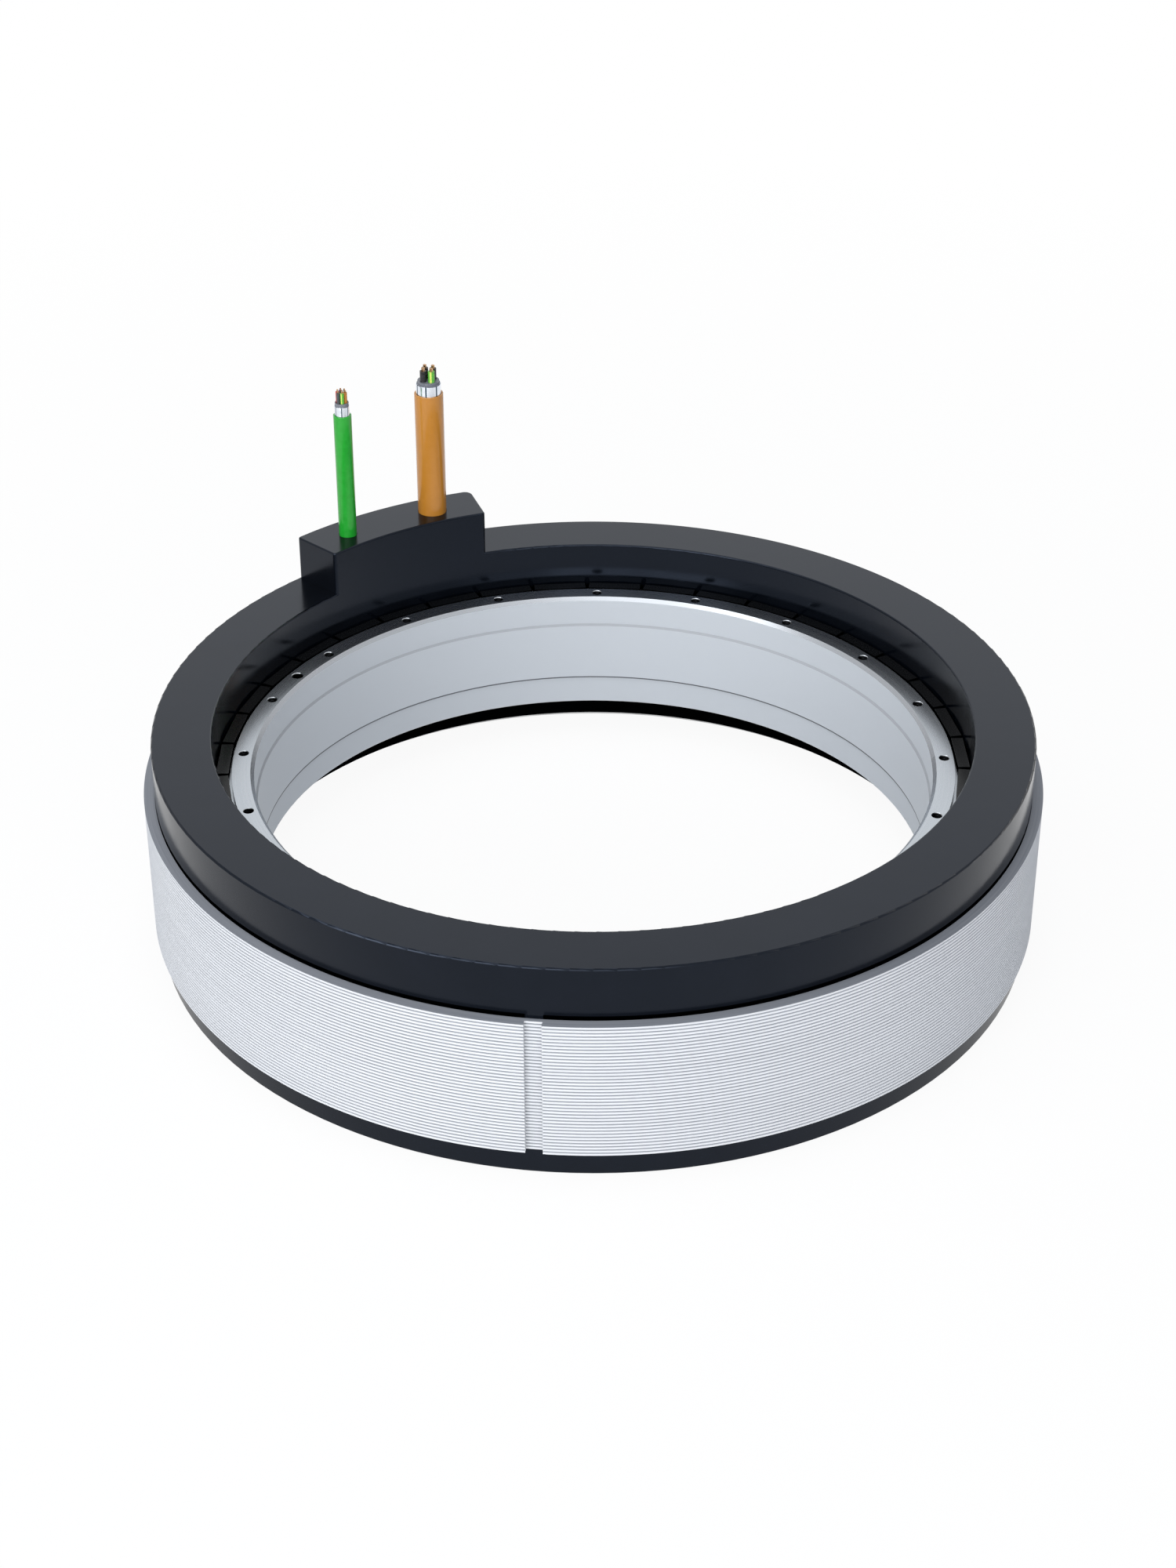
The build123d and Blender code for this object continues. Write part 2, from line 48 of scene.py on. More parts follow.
# Stator core.
# A stack of electrical sheet, punched with 36 teeth and pressed together. The edges of the
# sheets show as fine lines round the outside, with painted shade in the gaps between them, and
# one key groove runs down across them.
core_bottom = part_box("stator_core")[0].z
core_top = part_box("stator_core")[1].z
core_radius = 0.251
core_outline_steps = 360
bore_radius = 0.2116
slot_inner_radius = 0.2141
slot_outer_radius = 0.2361
tooth_count = 36
tooth_half_width = 0.009
mouth_half_width = 0.002
tooth_face_steps = 8
slot_floor_steps = 4
slot_shoulder_steps = 2
key_angle = math.radians(263.2)
key_half_width = 0.0045
key_depth = 0.0035
sheet_edges = 40
sheet_edge_height = 0.00112
sheet_pitch = (core_top - core_bottom - sheet_edge_height) / (sheet_edges - 1)
sheet_gap_depth = 0.0005
sheet_gap_slope = 0.00004
same_level = 0.000001


def turned(x, y, angle):
    """A point (x outward, y along the ring) turned to its angle about the motor's axis."""
    return (x * math.cos(angle) - y * math.sin(angle),
            x * math.sin(angle) + y * math.cos(angle))


def arc(radius, start, end, steps):
    """Points on an arc about the motor's axis, both ends included."""
    return [turned(radius, 0.0, start + (end - start) * step / steps)
            for step in range(steps + 1)]


def at_height(outline, height):
    """A flat outline laid at one height."""
    return [(x, y, height) for x, y in outline]


def core_outside(depth):
    """Outline of the sheets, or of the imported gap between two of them, set back by its depth."""
    half = key_half_width + depth
    radius = core_radius - depth
    edge = math.asin(half / radius)
    points = arc(radius, key_angle + edge, key_angle + 2 * math.pi - edge, core_outline_steps)
    key_floor = radius - key_depth
    return points + [turned(key_floor, -half, key_angle), turned(key_floor, half, key_angle)]


def core_inside():
    """Outline of the teeth with their tips, and of the slots between them."""
    pitch = 2 * math.pi / tooth_count
    tip = math.asin(mouth_half_width / bore_radius)
    mouth = math.asin(mouth_half_width / slot_inner_radius)
    side_in = math.asin(tooth_half_width / slot_inner_radius)
    side_out = math.asin(tooth_half_width / slot_outer_radius)
    points = []
    for number in range(tooth_count):
        tooth = number * pitch
        following = tooth + pitch
        slot = tooth + pitch / 2
        points += arc(bore_radius, tooth - pitch / 2 + tip, slot - tip, tooth_face_steps)
        points += arc(slot_inner_radius, slot - mouth, tooth + side_in, slot_shoulder_steps)
        points += arc(slot_outer_radius, tooth + side_out, following - side_out, slot_floor_steps)
        points += arc(slot_inner_radius, following - side_in, slot + mouth, slot_shoulder_steps)
    return points


def core_rows():
    """Outlines up the stack: each sheet edge, then the gap to the next one."""
    edge = core_outside(0.0)
    gap = core_outside(sheet_gap_depth)
    rows = []
    for number in range(sheet_edges):
        low = core_bottom + number * sheet_pitch
        rows += [at_height(edge, low), at_height(edge, low + sheet_edge_height)]
        if number < sheet_edges - 1:
            rows += [at_height(gap, low + sheet_edge_height + sheet_gap_slope),
                     at_height(gap, low + sheet_pitch - sheet_gap_slope)]
    return rows


def loft(rows):
    """Points and side faces of closed loops with equal counts, laid one on the other."""
    points = [point for row in rows for point in row]
    size = len(rows[0])
    faces = []
    for row in range(len(rows) - 1):
        for place in range(size):
            following = (place + 1) % size
            faces.append((row * size + place, row * size + following,
                          (row + 1) * size + following, (row + 1) * size + place))
    return points, faces


def new_mesh(name, points, faces):
    """Mesh of given points and faces."""
    mesh = bpy.data.meshes.new(name)
    mesh.from_pydata(points, [], faces)
    return mesh


def new_piece(name, mesh, smooth_below=35.0):
    """Piece with this mesh, shaded smooth except at its real corners."""
    mesh.polygons.foreach_set("use_smooth", [True] * len(mesh.polygons))
    mesh.set_sharp_from_angle(angle=math.radians(smooth_below))
    mesh.update()
    piece = bpy.data.objects.new(name, mesh)
    scene.collection.objects.link(piece)
    return piece


outside_points, outside_faces = loft(core_rows())
teeth = core_inside()
inside_points, inside_faces = loft([at_height(teeth, core_top), at_height(teeth, core_bottom)])
first_inside = len(outside_points)
inside_faces = [tuple(first_inside + corner for corner in face) for face in inside_faces]
core_mesh = new_mesh("sheet_stack", outside_points + inside_points, outside_faces + inside_faces)
stack = bmesh.new()
stack.from_mesh(core_mesh)
for level in (core_bottom, core_top):
    rim = [edge for edge in stack.edges
           if edge.is_boundary and all(abs(end.co.z - level) < same_level for end in edge.verts)]
    bmesh.ops.triangle_fill(stack, edges=rim, use_beauty=True)
bmesh.ops.recalc_face_normals(stack, faces=stack.faces)
stack.to_mesh(core_mesh)
stack.free()
sheet_stack = new_piece("sheet_stack", core_mesh, smooth_below=25.0)


def add_node(material, kind, **inputs):
    """Node of one kind, with inputs by name or, as i0 and i1, by number, set or linked."""
    node = material.node_tree.nodes.new(kind)
    for name, value in inputs.items():
        by_number = name[0] == "i" and name[1:].isdigit()
        socket = node.inputs[int(name[1:]) if by_number else name.replace("_", " ")]
        if isinstance(value, bpy.types.NodeSocket):
            material.node_tree.links.new(value, socket)
        else:
            socket.default_value = value
    return node


def calculate(material, operation, first, second=0.0):
    """Result of one sum on two values or outputs."""
    node = add_node(material, "ShaderNodeMath", i0=first, i1=second)
    node.operation = operation
    return node.outputs[0]


def round_the_axis(material):
    """Place of a shaded point: its x and y, its distance from the motor's axis and its height."""
    where = add_node(material, "ShaderNodeTexCoord").outputs["Object"]
    x, y, height = add_node(material, "ShaderNodeSeparateXYZ", i0=where).outputs
    flat = add_node(material, "ShaderNodeCombineXYZ", i0=x, i1=y)
    length = add_node(material, "ShaderNodeVectorMath", i0=flat.outputs[0])
    length.operation = "LENGTH"
    return x, y, length.outputs["Value"], height


def place_on_ring(material, along, across):
    """Coordinates for marks that run round the motor's axis: fine across, coarse along."""
    x, y, radius, height = round_the_axis(material)
    depth = calculate(material, "ADD", radius, height)
    return add_node(material, "ShaderNodeCombineXYZ",
                    i0=calculate(material, "MULTIPLY", x, along),
                    i1=calculate(material, "MULTIPLY", y, along),
                    i2=calculate(material, "MULTIPLY", depth, across)).outputs[0]


def surface(name, dark, light, *, rough, grain, relief, metal=0.0, detail=4.0, **shader):
    """Material whose colour, roughness and fine relief all follow one grain.

    dark and light are its two tones, and rough is its lowest and highest roughness. grain is the
    number of marks in a metre, or a pair of such numbers, along and across, for marks that run
    round the motor's axis. relief is their depth in metres.
    """
    lowest_mark, highest_mark = 0.3, 0.7
    material = bpy.data.materials.new(name)
    material.use_nodes = True
    tree = material.node_tree
    shell = tree.nodes["Principled BSDF"]
    shell.inputs["Metallic"].default_value = metal
    for socket, value in shader.items():
        shell.inputs[socket.replace("_", " ")].default_value = value
    if isinstance(grain, tuple):
        where, scale = place_on_ring(material, *grain), 1.0
    else:
        where, scale = add_node(material, "ShaderNodeTexCoord").outputs["Object"], grain
    marks = add_node(material, "ShaderNodeTexNoise", Vector=where, Scale=scale, Detail=detail)
    tone = marks.outputs["Fac"]
    tint = add_node(material, "ShaderNodeValToRGB", Fac=tone)
    for stop, position, colour in zip(tint.color_ramp.elements, (lowest_mark, highest_mark),
                                      (dark, light)):
        stop.position = position
        stop.color = (*colour, 1.0)
    tree.links.new(tint.outputs["Color"], shell.inputs["Base Color"])
    span = add_node(material, "ShaderNodeMapRange", Value=tone, From_Min=lowest_mark,
                    From_Max=highest_mark, To_Min=rough[0], To_Max=rough[1])
    tree.links.new(span.outputs[0], shell.inputs["Roughness"])
    bump = add_node(material, "ShaderNodeBump", Height=tone, Distance=relief, Strength=1.0)
    tree.links.new(bump.outputs["Normal"], shell.inputs["Normal"])
    return material


def paint_shade(material, inside_radius, below_height, seams=None):
    """Painted shade: dull black within a radius and below a height, and on seams."""
    shade_black = (0.0006, 0.0007, 0.0008, 1.0)
    radius, height = round_the_axis(material)[2:]
    inside = calculate(material, "MULTIPLY",
                       calculate(material, "LESS_THAN", height, below_height),
                       calculate(material, "LESS_THAN", radius, inside_radius))
    if seams:
        inside = calculate(material, "MAXIMUM", inside, seams)
    shade_surface = add_node(material, "ShaderNodeBsdfDiffuse", Color=shade_black)
    tree = material.node_tree
    mix = add_node(material, "ShaderNodeMixShader", i0=inside,
                   i1=tree.nodes["Principled BSDF"].outputs[0], i2=shade_surface.outputs[0])
    tree.links.new(mix.outputs[0], tree.nodes["Material Output"].inputs["Surface"])


def give(piece, material):
    """The piece shows one material all over."""
    piece.data.materials.clear()
    piece.data.materials.append(material)


give(sheet_stack, surface("punched_sheet_edges", (0.65, 0.66, 0.68), (0.69, 0.70, 0.72),
                          rough=(0.55, 0.68), grain=(7.0, 420.0), relief=0.000006,
                          metal=0.08, Specular_IOR_Level=0.0))
lacquer_and_gap_shade = surface("lacquer_and_gap_shade", (0.22, 0.235, 0.265), (0.29, 0.305, 0.34),
                        rough=(0.5, 0.65), grain=(9.0, 900.0), relief=0.00001)
resin_wall = 0.245
# The lacquered end faces within the resin ring's radius are painted black, as shade in the groove
# at the ring's foot.
foot_shade_width = 0.0001
foot_shade_height = 0.001
paint_shade(lacquer_and_gap_shade, resin_wall + foot_shade_width, core_top + foot_shade_height)
sheet_stack.data.materials.append(lacquer_and_gap_shade)
half_way_out = (slot_outer_radius + core_radius) / 2
# The stack's two ends show the lacquer, and the imported gaps between its sheet edges show the
# same dark grey as painted shade.
for face in sheet_stack.data.polygons:
    is_end = face.center.z in (core_bottom, core_top)
    is_outside = math.hypot(face.center.x, face.center.y) > half_way_out
    is_upright = abs(face.normal.z) < 0.5
    above_edge = (face.center.z - core_bottom) % sheet_pitch - sheet_edge_height
    if is_end or is_outside and is_upright and above_edge > sheet_gap_slope:
        face.material_index = 1
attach(sheet_stack, "stator")
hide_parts("stator_core")


# Slot insulation and windings.
# Folded paper liners, closing strips and moulded end frames, and 36 coils of lacquered copper
# wire, wound on a machine. They are sealed in by the two resin rings.
give(nodes["slot_liners"], surface("insulating_paper", (0.70, 0.63, 0.42), (0.82, 0.76, 0.56),
                                   rough=(0.6, 0.8), grain=900.0, relief=0.00002))
give(nodes["slot_wedges"], surface("wedge_laminate", (0.50, 0.47, 0.20), (0.66, 0.62, 0.32),
                                   rough=(0.4, 0.6), grain=1200.0, relief=0.00002))
frame_plastic = surface("glass_filled_frame", (0.66, 0.64, 0.57), (0.75, 0.73, 0.67),
                        rough=(0.45, 0.65), grain=1500.0, relief=0.00002)
for name in ("end_frame_top", "end_frame_bottom"):
    give(nodes[name], frame_plastic)
coil_wire = surface("lacquered_winding_wire", (0.34, 0.10, 0.035), (0.62, 0.24, 0.10),
                    rough=(0.18, 0.4), grain=(200.0, 900.0), relief=0.0003, metal=0.7,
                    Coat_Weight=0.5)
for phase in "uvw":
    give(nodes["winding_phase_" + phase], coil_wire)


# Connection rings, earth strip, sensors and board.
# Bare copper bands on edge in a moulded tray, which join the coils to the power cores. Two bead
# sensors sit between coils, with a small board above them. All of it lies under the resin.
bare_copper = surface("rolled_copper", (0.63, 0.28, 0.15), (0.80, 0.42, 0.27),
                      rough=(0.22, 0.42), grain=700.0, relief=0.00001, metal=1.0)
for name in ("phase_ring_u", "phase_ring_v", "phase_ring_w", "star_ring", "earth_strip"):
    give(nodes[name], bare_copper)
give(nodes["connection_carrier"],
     surface("moulded_carrier", (0.035, 0.035, 0.037), (0.06, 0.06, 0.063),
             rough=(0.4, 0.6), grain=1500.0, relief=0.00002))
give(nodes["temperature_sensors"],
     surface("sensor_lacquer", (0.02, 0.02, 0.10), (0.05, 0.05, 0.20),
             rough=(0.2, 0.35), grain=900.0, relief=0.00002))
give(nodes["sensor_board"],
     surface("board_lacquer", (0.01, 0.12, 0.04), (0.02, 0.20, 0.08),
             rough=(0.3, 0.45), grain=900.0, relief=0.00001))


# Resin rings.
# Black casting resin poured round the winding heads in a mould, glossy and slightly uneven, with
# soft edges. The groove at the upper ring's foot and the lower ring's inner face are painted dull
# black, as shade. The cable outlet is cast with the upper ring.
groove_shade_height = 0.003
groove_shade_inset = 0.0002
inner_wall_shade = 0.001


def casting_resin(name, grain, relief, gloss):
    """Black resin as it comes out of its mould, with a cool sheen."""
    return surface(name, (0.001, 0.0017, 0.003), (0.0018, 0.0026, 0.0045), rough=(0.14, 0.22),
                   grain=grain, relief=relief, detail=3.0, Specular_IOR_Level=gloss,
                   Specular_Tint=(0.62, 0.74, 1.0, 1.0))


upper_resin = casting_resin("black_casting_resin", grain=45.0, relief=0.00004, gloss=0.27)
# The groove at the ring's foot is painted black as shade.
paint_shade(upper_resin, resin_wall - groove_shade_inset, core_top + groove_shade_height)
give(nodes["top_potting"], upper_resin)
lower_resin = casting_resin("black_casting_resin_below", grain=60.0, relief=0.00005, gloss=0.25)
# The lower ring's inner face is painted black as shade.
paint_shade(lower_resin, bore_radius + inner_wall_shade, core_bottom)
give(nodes["bottom_potting"], lower_resin)


# Power cable.
# A shielded motor cable cut short and stripped: orange jacket with a knife-cut end, foil screen,
# grey inner sheath, three black cores and a green-yellow one, and twisted copper wires.
cable_circle = 0.2276
power_place = turned(cable_circle, 0.0, math.radians(115.8))
sleeve_sides = 72
sleeve_wall_rows = (0.0, 0.3, 0.65)
lip_steps = 3
cut_zone = 0.1
cut_direction = 0.7
foil_folds = 7
mean_crease = 0.55
crease_swing = 0.45
crease_start = 1.3


def sleeve(name, nodename, centre, outer, inner, lip, cut, creases=None):
    """Tube with rounded lips and a slightly sloping cut at its upper end."""
    low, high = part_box(nodename)[0].z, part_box(nodename)[1].z
    turns = [math.radians(90.0 * step / lip_steps) for step in range(lip_steps + 1)]
    profile = [(outer, low + share * (high - low)) for share in sleeve_wall_rows]
    profile += [(outer - lip * (1 - math.cos(turn)), high - lip * (1 - math.sin(turn)))
                for turn in turns]
    profile += [(inner + lip * (1 - math.sin(turn)), high - lip * (1 - math.cos(turn)))
                for turn in turns]
    profile.append((inner, low))
    rows = []
    for radius, height in profile:
        near_end = max(0.0, (height - low) / (high - low) - (1.0 - cut_zone)) / cut_zone
        row = []
        for step in range(sleeve_sides):
            angle = 2 * math.pi * step / sleeve_sides
            away = radius + (creases(angle) if creases else 0.0)
            drop = cut * near_end * (0.5 + 0.5 * math.sin(angle + cut_direction))
            row.append((centre[0] + away * math.cos(angle),
                        centre[1] + away * math.sin(angle), height - drop))
        rows.append(row)
    points, faces = loft(rows)
    last_row = (len(rows) - 1) * sleeve_sides
    for place in range(sleeve_sides):
        following = (place + 1) % sleeve_sides
        faces.append((last_row + place, last_row + following, following, place))
    piece = new_piece(name, new_mesh(name, points, faces))
    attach(piece, "stator")
    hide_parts(nodename)
    return piece


def foil_creases(depth):
    """Lengthwise creases of a foil that is wrapped round by hand, some deeper than others."""
    def crease(angle):
        wave = angle * foil_folds / (2 * math.pi)
        part = wave - math.floor(wave)
        strength = mean_crease + crease_swing * math.sin(3.0 * angle + crease_start)
        return -depth * strength * abs(2 * part - 1)
    return crease


def second_tone(material, where, tone):
    """Another colour where a mask says, over what the shader shows so far."""
    base = material.node_tree.nodes["Principled BSDF"].inputs["Base Color"]
    mix = add_node(material, "ShaderNodeMix", Factor=where)
    mix.data_type = "RGBA"
    under, over = (socket for socket in mix.inputs if socket.type == "RGBA")
    result, = (socket for socket in mix.outputs if socket.type == "RGBA")
    material.node_tree.links.new(base.links[0].from_socket, under)
    over.default_value = (*tone, 1.0)
    material.node_tree.links.new(result, base)


def lengthwise_stripes(material, nodename, stripe, share, count, phase):
    """Stripes of a second colour along a round piece, about its own middle."""
    whole_turns = 8.0
    low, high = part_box(nodename)
    middle = (low + high) / 2
    where = add_node(material, "ShaderNodeTexCoord").outputs["Object"]
    parts = add_node(material, "ShaderNodeSeparateXYZ", i0=where)
    angle = calculate(material, "ARCTAN2",
                      calculate(material, "SUBTRACT", parts.outputs["Y"], middle.y),
                      calculate(material, "SUBTRACT", parts.outputs["X"], middle.x))
    turns = calculate(material, "MULTIPLY", calculate(material, "ADD", angle, phase),
                      count / (2 * math.pi))
    part = calculate(material, "FRACT", calculate(material, "ADD", turns, whole_turns))
    second_tone(material, calculate(material, "LESS_THAN", part, share), stripe)
    return material


def screen_foil(name, nodename, phase):
    """Bright metal foil with dark stripes of painted shade along its creases."""
    foil = surface(name, (0.72, 0.77, 0.85), (0.86, 0.90, 0.96), rough=(0.14, 0.24),
                   grain=400.0, relief=0.000004, metal=1.0)
    return lengthwise_stripes(foil, nodename, (0.07, 0.10, 0.13), share=0.15, count=foil_folds,
                              phase=phase)


def jacket_plastic(name, dark, light, rough, grain, gloss):
    """Coloured jacket plastic with a thin waxy shine."""
    return surface(name, dark, light, rough=rough, grain=grain, relief=0.000006,
                   Specular_IOR_Level=gloss, Coat_Weight=0.25, Coat_Roughness=0.1)


power_jacket = sleeve("power_jacket_sleeve", "power_cable_jacket", power_place,
                      outer=0.00875, inner=0.00765, lip=0.0003, cut=0.0003)
give(power_jacket,
     jacket_plastic("orange_jacket", (0.475, 0.192, 0.021), (0.495, 0.202, 0.025),
                    rough=(0.16, 0.24), grain=260.0, gloss=0.45))
power_screen = sleeve("power_screen_foil", "power_cable_shield", power_place, outer=0.00755,
                      inner=0.00715, lip=0.00008, cut=0.0002, creases=foil_creases(0.0002))
give(power_screen, screen_foil("power_foil", "power_cable_shield", 0.0))
sheath_grey = surface("grey_inner_sheath", (0.14, 0.15, 0.175), (0.20, 0.21, 0.24),
                      rough=(0.35, 0.5), grain=500.0, relief=0.00002)
give(nodes["power_cable_inner_sheath"], sheath_grey)
black_tones = ((0.010, 0.010, 0.011), (0.022, 0.022, 0.024))
core_black = surface("black_core", *black_tones, rough=(0.3, 0.45), grain=600.0, relief=0.00003)
for name in ("power_core_u", "power_core_v", "power_core_w"):
    give(nodes[name], core_black)


def earth_insulation(name, nodename, phase):
    """Green insulation with two narrow yellow stripes."""
    green = surface(name, (0.10, 0.42, 0.04), (0.15, 0.52, 0.06), rough=(0.25, 0.35),
                    grain=600.0, relief=0.00002)
    give(nodes[nodename], lengthwise_stripes(green, nodename, (0.70, 0.76, 0.16), share=0.17,
                                             count=2, phase=phase))


earth_insulation("power_earth_insulation", "power_core_earth", 1.98)
strand_copper = surface("drawn_copper_strand", (0.52, 0.33, 0.18), (0.68, 0.46, 0.28),
                        rough=(0.25, 0.4), grain=900.0, relief=0.00001, metal=1.0)
conductor_overrun = 0.001
uneven_cut = 0.0002


def core_spots(names):
    """Middle of each named core, and how far down its wires go."""
    spots = []
    for name in names:
        low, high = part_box(name)
        spots.append(((low.x + high.x) / 2, (low.y + high.y) / 2, low.z - conductor_overrun))
    return spots


def strand(spot, offset, radius, heights, sides):
    """Points and faces of one wire, whose middle line runs through an offset at each height."""
    points, faces = [], []
    for (x, y), height in zip(offset, heights):
        for side in range(sides):
            angle = 2 * math.pi * side / sides
            points.append((spot[0] + x + radius * math.cos(angle),
                           spot[1] + y + radius * math.sin(angle), height))
    for row in range(len(heights) - 1):
        for side in range(sides):
            low, low_following = row * sides + side, row * sides + (side + 1) % sides
            faces.append((low, low_following, low_following + sides, low + sides))
    faces.append(tuple(reversed(range(sides))))
    faces.append(tuple(range(len(points) - sides, len(points))))
    return points, faces


def stranded(name, nodename, spots, wire_radius, rings, pitch, steps, sides):
    """Twisted bare wires: a straight one, and rings of six, twelve and so on wound round it."""
    low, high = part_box(nodename)[0].z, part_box(nodename)[1].z
    points, faces = [], []
    for spot in spots:
        for ring in range(rings + 1):
            wires = max(1, 6 * ring)
            away = 2 * wire_radius * ring
            for wire in range(wires):
                heights = [spot[2] + (high - spot[2]) * step / steps for step in range(steps + 1)]
                turns = [2 * math.pi * (wire / wires + (height - low) / pitch)
                         for height in heights]
                heights[-1] -= abs(uneven_cut * math.sin(5.0 * wire + ring))
                offset = [(away * math.cos(turn), away * math.sin(turn)) for turn in turns]
                wire_points, wire_faces = strand(spot, offset, wire_radius, heights, sides)
                faces += [tuple(len(points) + corner for corner in face) for face in wire_faces]
                points += wire_points
    piece = new_piece(name, new_mesh(name, points, faces), smooth_below=50.0)
    give(piece, strand_copper)
    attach(piece, "stator")
    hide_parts(nodename)


stranded("power_wires", "power_conductors",
         core_spots("power_core_" + name for name in ("u", "v", "w", "earth")),
         wire_radius=0.00022, rings=2, pitch=0.03, steps=44, sides=6)


# Signal cable.
# A thin shielded sensor cable, stripped the same way: green jacket, foil screen, grey inner
# sheath and seven coloured cores.
signal_place = turned(cable_circle, 0.0, math.radians(130.7))
signal_jacket = sleeve("signal_jacket_sleeve", "signal_cable_jacket", signal_place,
                       outer=0.0054, inner=0.0046, lip=0.00025, cut=0.0003)
give(signal_jacket,
     jacket_plastic("green_jacket", (0.009, 0.31, 0.019), (0.013, 0.35, 0.026),
                    rough=(0.18, 0.26), grain=300.0, gloss=0.4))
signal_screen = sleeve("signal_screen_foil", "signal_cable_shield", signal_place, outer=0.0045,
                       inner=0.0042, lip=0.00006, cut=0.0002, creases=foil_creases(0.00012))
give(signal_screen, screen_foil("signal_foil", "signal_cable_shield", -0.184))
give(nodes["signal_cable_inner_sheath"], sheath_grey)
for name, dark, light in (
    ("red", (0.45, 0.015, 0.012), (0.60, 0.03, 0.02)),
    ("brown", (0.42, 0.16, 0.025), (0.55, 0.22, 0.04)),
    ("white", (0.62, 0.62, 0.60), (0.75, 0.75, 0.72)),
    ("violet", (0.08, 0.03, 0.16), (0.13, 0.05, 0.24)),
    ("grey", (0.045, 0.05, 0.055), (0.08, 0.085, 0.09)),
    ("black", *black_tones),
):
    give(nodes["signal_core_" + name],
         surface(name + "_core", dark, light, rough=(0.3, 0.45), grain=900.0, relief=0.00002))
earth_insulation("signal_earth_insulation", "signal_core_earth", 2.19)
signal_cores = ("black", "earth", "brown", "white", "violet", "red", "grey")
stranded("signal_wires", "signal_conductors",
         core_spots("signal_core_" + name for name in signal_cores),
         wire_radius=0.000166, rings=1, pitch=0.016, steps=60, sides=5)


# Rotor ring.
# A turned steel ring: a ground flange, and a bore of a duller, finely turned finish with a
# register at each end. Twenty threaded holes and one plain index hole are drilled into the flange.
rotor_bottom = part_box("rotor_ring")[0].z
rotor_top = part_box("rotor_ring")[1].z
register_radius = 0.190
register_length = 0.018
register_step = 0.001
bore_margin = 0.0003
line_margin = 0.0001
lower_shadow_width = 0.0008
top_chamfer = 0.002
hole_circle_inside = 0.1925
hole_circle_outside = 0.2015
hole_bright_rim = 0.0003
hole_foot = 0.002
bore_dullness = 0.9
bore_extra_roughness = 0.3


def between(material, value, low, high):
    """One where a value lies between two others, and zero elsewhere."""
    return calculate(material, "MULTIPLY", calculate(material, "GREATER_THAN", value, low),
                     calculate(material, "LESS_THAN", value, high))


def finishes_and_painted_shade(material):
    """Duller bore, bright flange, and painted shade on the chamfer, in the holes and along the
    register steps.
    """
    radius, height = round_the_axis(material)[2:]

    def both(first, second):
        return calculate(material, "MULTIPLY", first, second)

    near_bore = calculate(material, "LESS_THAN", radius, register_radius + bore_margin)
    chamfer_foot = rotor_top - top_chamfer
    upper_step = rotor_top - register_length
    lower_step = rotor_bottom + register_length
    bore = both(near_bore, calculate(material, "LESS_THAN", height, chamfer_foot))
    bevel = both(between(material, height, chamfer_foot, rotor_top - line_margin),
                 calculate(material, "LESS_THAN", radius, hole_circle_inside))
    upper_step_shade = both(near_bore, between(material, height,
                                         upper_step - register_step - line_margin,
                                         upper_step + line_margin))
    lower_step_shadow = both(near_bore, between(material, height, lower_step - line_margin,
                                         lower_step + lower_shadow_width))
    hole_shade = both(between(material, radius, hole_circle_inside, hole_circle_outside),
                   between(material, height, rotor_bottom + hole_foot,
                           rotor_top - hole_bright_rim))
    # The bore's tone is its own finish; the chamfer, the upper step line and the holes are
    # darkened as painted shade, and the lower step line as a painted shadow.
    second_tone(material, bore, (0.55, 0.58, 0.615))
    second_tone(material, bevel, (0.38, 0.40, 0.43))
    second_tone(material, upper_step_shade, (0.37, 0.385, 0.41))
    second_tone(material, lower_step_shadow, (0.10, 0.105, 0.115))
    second_tone(material, hole_shade, (0.02, 0.021, 0.023))
    tree = material.node_tree
    shell = tree.nodes["Principled BSDF"]
    dull = calculate(material, "MULTIPLY", bore, bore_dullness)
    tree.links.new(calculate(material, "SUBTRACT", 1.0, dull), shell.inputs["Metallic"])
    even_rough = shell.inputs["Roughness"].links[0].from_socket
    extra_rough = calculate(material, "MULTIPLY", bore, bore_extra_roughness)
    tree.links.new(calculate(material, "ADD", even_rough, extra_rough), shell.inputs["Roughness"])
    return material


turned_steel = surface("turned_steel", (0.42, 0.445, 0.475), (0.45, 0.475, 0.505),
                       rough=(0.265, 0.28), grain=(6.0, 700.0), relief=0.0000003, metal=1.0,
                       detail=3.0)
give(nodes["rotor_ring"], finishes_and_painted_shade(turned_steel))
thread_circle = 0.197
thread_count = 20
thread_start_angle = math.radians(89.4)
thread_radius = 0.0025
thread_root = 0.00003
thread_height = 0.00016
thread_flank = 0.00044
thread_pitch = 0.001
thread_turns = 11
thread_top = rotor_top - 0.0009
thread_steps = 24


def threads():
    """Ridges of the internal threads, wound down the walls of all the screw holes."""
    points, faces = [], []
    for number in range(thread_count):
        centre = turned(thread_circle, 0.0,
                        thread_start_angle + 2 * math.pi * number / thread_count)
        start = len(points)
        total = thread_turns * thread_steps
        for step in range(total + 1):
            angle = 2 * math.pi * step / thread_steps
            height = thread_top - thread_pitch * step / thread_steps
            taper = min(1.0, step / thread_steps, (total - step) / thread_steps)
            for out, rise in ((thread_root, thread_flank), (-thread_height * taper, 0.0),
                              (thread_root, -thread_flank)):
                radius = thread_radius + out
                points.append((centre[0] + radius * math.cos(angle),
                               centre[1] + radius * math.sin(angle), height + rise))
        for step in range(total):
            for strip in range(2):
                corner = start + 3 * step + strip
                faces.append((corner, corner + 1, corner + 4, corner + 3))
    return points, faces


hole_threads = new_piece("hole_threads", new_mesh("hole_threads", *threads()), smooth_below=50.0)
# The threads are painted near black, as shade inside the holes.
give(hole_threads, surface("thread_painted_shade", (0.03, 0.032, 0.036), (0.055, 0.058, 0.064),
                           rough=(0.4, 0.5), grain=1500.0, relief=0.000004, metal=1.0))
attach(hole_threads, "rotor")
